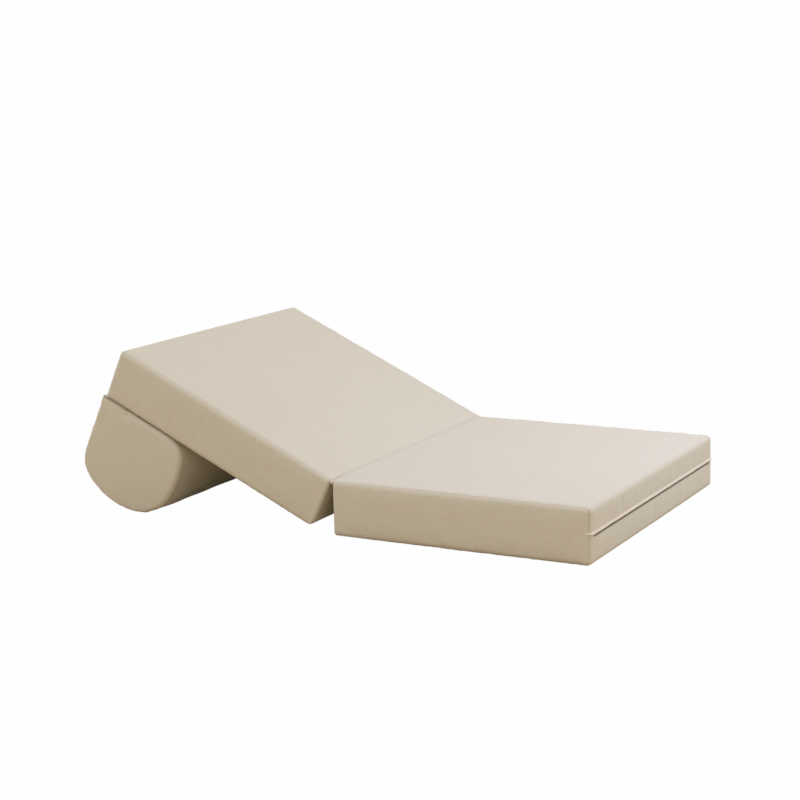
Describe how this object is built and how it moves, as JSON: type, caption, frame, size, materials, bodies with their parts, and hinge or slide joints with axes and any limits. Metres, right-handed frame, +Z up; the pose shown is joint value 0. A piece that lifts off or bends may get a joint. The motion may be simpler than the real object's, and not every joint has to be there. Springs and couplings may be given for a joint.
{
  "type": "futon mattress",
  "caption": "Fold-out futon mattress lounger: two foam sections joined at a crease, the back propped on a hinged bolster; beige fabric covers with zips.",
  "frame": {"origin": "middle of the footprint on the floor, with the back reclined on its bolster", "axes": "+Z up, +X along the length from the head end to the seat's foot, +Y across the width"},
  "size_m": [2.0595, 1.2, 0.6039],
  "materials": {
    "cover_fabric": "plain-weave beige polyester-cotton, matte",
    "hinge_fabric": "the cover's fabric folded double, matte",
    "foam": "open-cell polyurethane foam, matte",
    "wadding": "polyester fibre wadding",
    "zip_tape": "woven tape",
    "zip_teeth": "satin",
    "zip_metal": "dull nickel"
  },
  "bodies": {
    "seat": {"seat_foam_core": "foam", "seat_wadding": "wadding", "seat_cover_top": "cover_fabric", "seat_cover_bottom": "cover_fabric", "seat_cover_near_side": "cover_fabric", "seat_cover_far_side": "cover_fabric", "seat_cover_hinge_end": "cover_fabric", "seat_cover_end_upper": "cover_fabric", "seat_cover_end_lower": "cover_fabric", "seat_zip_flap": "cover_fabric", "seat_zip_tape_upper": "zip_tape", "seat_zip_tape_lower": "zip_tape", "seat_zip_teeth": "zip_teeth", "seat_zip_stops": "zip_metal", "crease_leaf_seat": "hinge_fabric", "crease_seam_bead": "hinge_fabric"},
    "back": {"back_foam_core": "foam", "back_wadding": "wadding", "back_cover_top": "cover_fabric", "back_cover_bottom": "cover_fabric", "back_cover_near_side": "cover_fabric", "back_cover_far_side": "cover_fabric", "back_cover_hinge_end": "cover_fabric", "back_cover_end_upper": "cover_fabric", "back_cover_end_lower": "cover_fabric", "back_zip_flap": "cover_fabric", "back_zip_tape_upper": "zip_tape", "back_zip_tape_lower": "zip_tape", "back_zip_teeth": "zip_teeth", "back_zip_stops": "zip_metal", "crease_leaf_back": "hinge_fabric", "bolster_leaf_back": "hinge_fabric", "bolster_seam_bead": "hinge_fabric"},
    "bolster": {"bolster_foam_core": "foam", "bolster_wadding": "wadding", "bolster_cover_roll": "cover_fabric", "bolster_cover_flat": "cover_fabric", "bolster_cover_rear_upper": "cover_fabric", "bolster_cover_rear_lower": "cover_fabric", "bolster_cover_near_end": "cover_fabric", "bolster_cover_far_end": "cover_fabric", "bolster_zip_flap": "cover_fabric", "bolster_zip_tape_upper": "zip_tape", "bolster_zip_tape_lower": "zip_tape", "bolster_zip_teeth": "zip_teeth", "bolster_zip_stops": "zip_metal", "bolster_leaf_bolster": "hinge_fabric"},
    "seat_slider": {"seat_zip_slider": "zip_metal"},
    "seat_pull": {"seat_zip_pull": "zip_metal"},
    "back_slider": {"back_zip_slider": "zip_metal"},
    "back_pull": {"back_zip_pull": "zip_metal"},
    "bolster_slider": {"bolster_zip_slider": "zip_metal"},
    "bolster_pull": {"bolster_zip_pull": "zip_metal"}
  },
  "joints": [
    {"name": "back_fold", "type": "hinge", "parent": "seat", "child": "back", "pos_m": [0.05827, 0, 0.2035], "axis": [0, 1, 0], "range_deg": [-25, 154.9]},
    {"name": "bolster_fold", "type": "hinge", "parent": "back", "child": "bolster", "pos_m": [-0.91526, 0, 0.43162], "axis": [0, 1, 0], "range_deg": [0, 180]},
    {"name": "seat_zip_slide", "type": "slide", "parent": "seat", "child": "seat_slider", "axis": [0, -1, 0], "range_m": [0, 1.124]},
    {"name": "seat_pull_swing", "type": "hinge", "parent": "seat_slider", "child": "seat_pull", "pos_m": [1.02977, 0.562, 0.1], "axis": [0, 0, 1], "range_deg": [0, 180]},
    {"name": "back_zip_slide", "type": "slide", "parent": "back", "child": "back_slider", "axis": [0, -1, 0], "range_m": [0, 1.124]},
    {"name": "back_pull_swing", "type": "hinge", "parent": "back_slider", "child": "back_pull", "pos_m": [-0.8656, 0.562, 0.52128], "axis": [-0.4236, 0, -0.9058], "range_deg": [0, 180]},
    {"name": "bolster_zip_slide", "type": "slide", "parent": "bolster", "child": "bolster_slider", "axis": [0, -1, 0], "range_m": [0, 1.124]},
    {"name": "bolster_pull_swing", "type": "hinge", "parent": "bolster_slider", "child": "bolster_pull", "pos_m": [-0.98147, 0.562, 0.29947], "axis": [-0.4236, 0, -0.9058], "range_deg": [0, 180]}
  ]
}
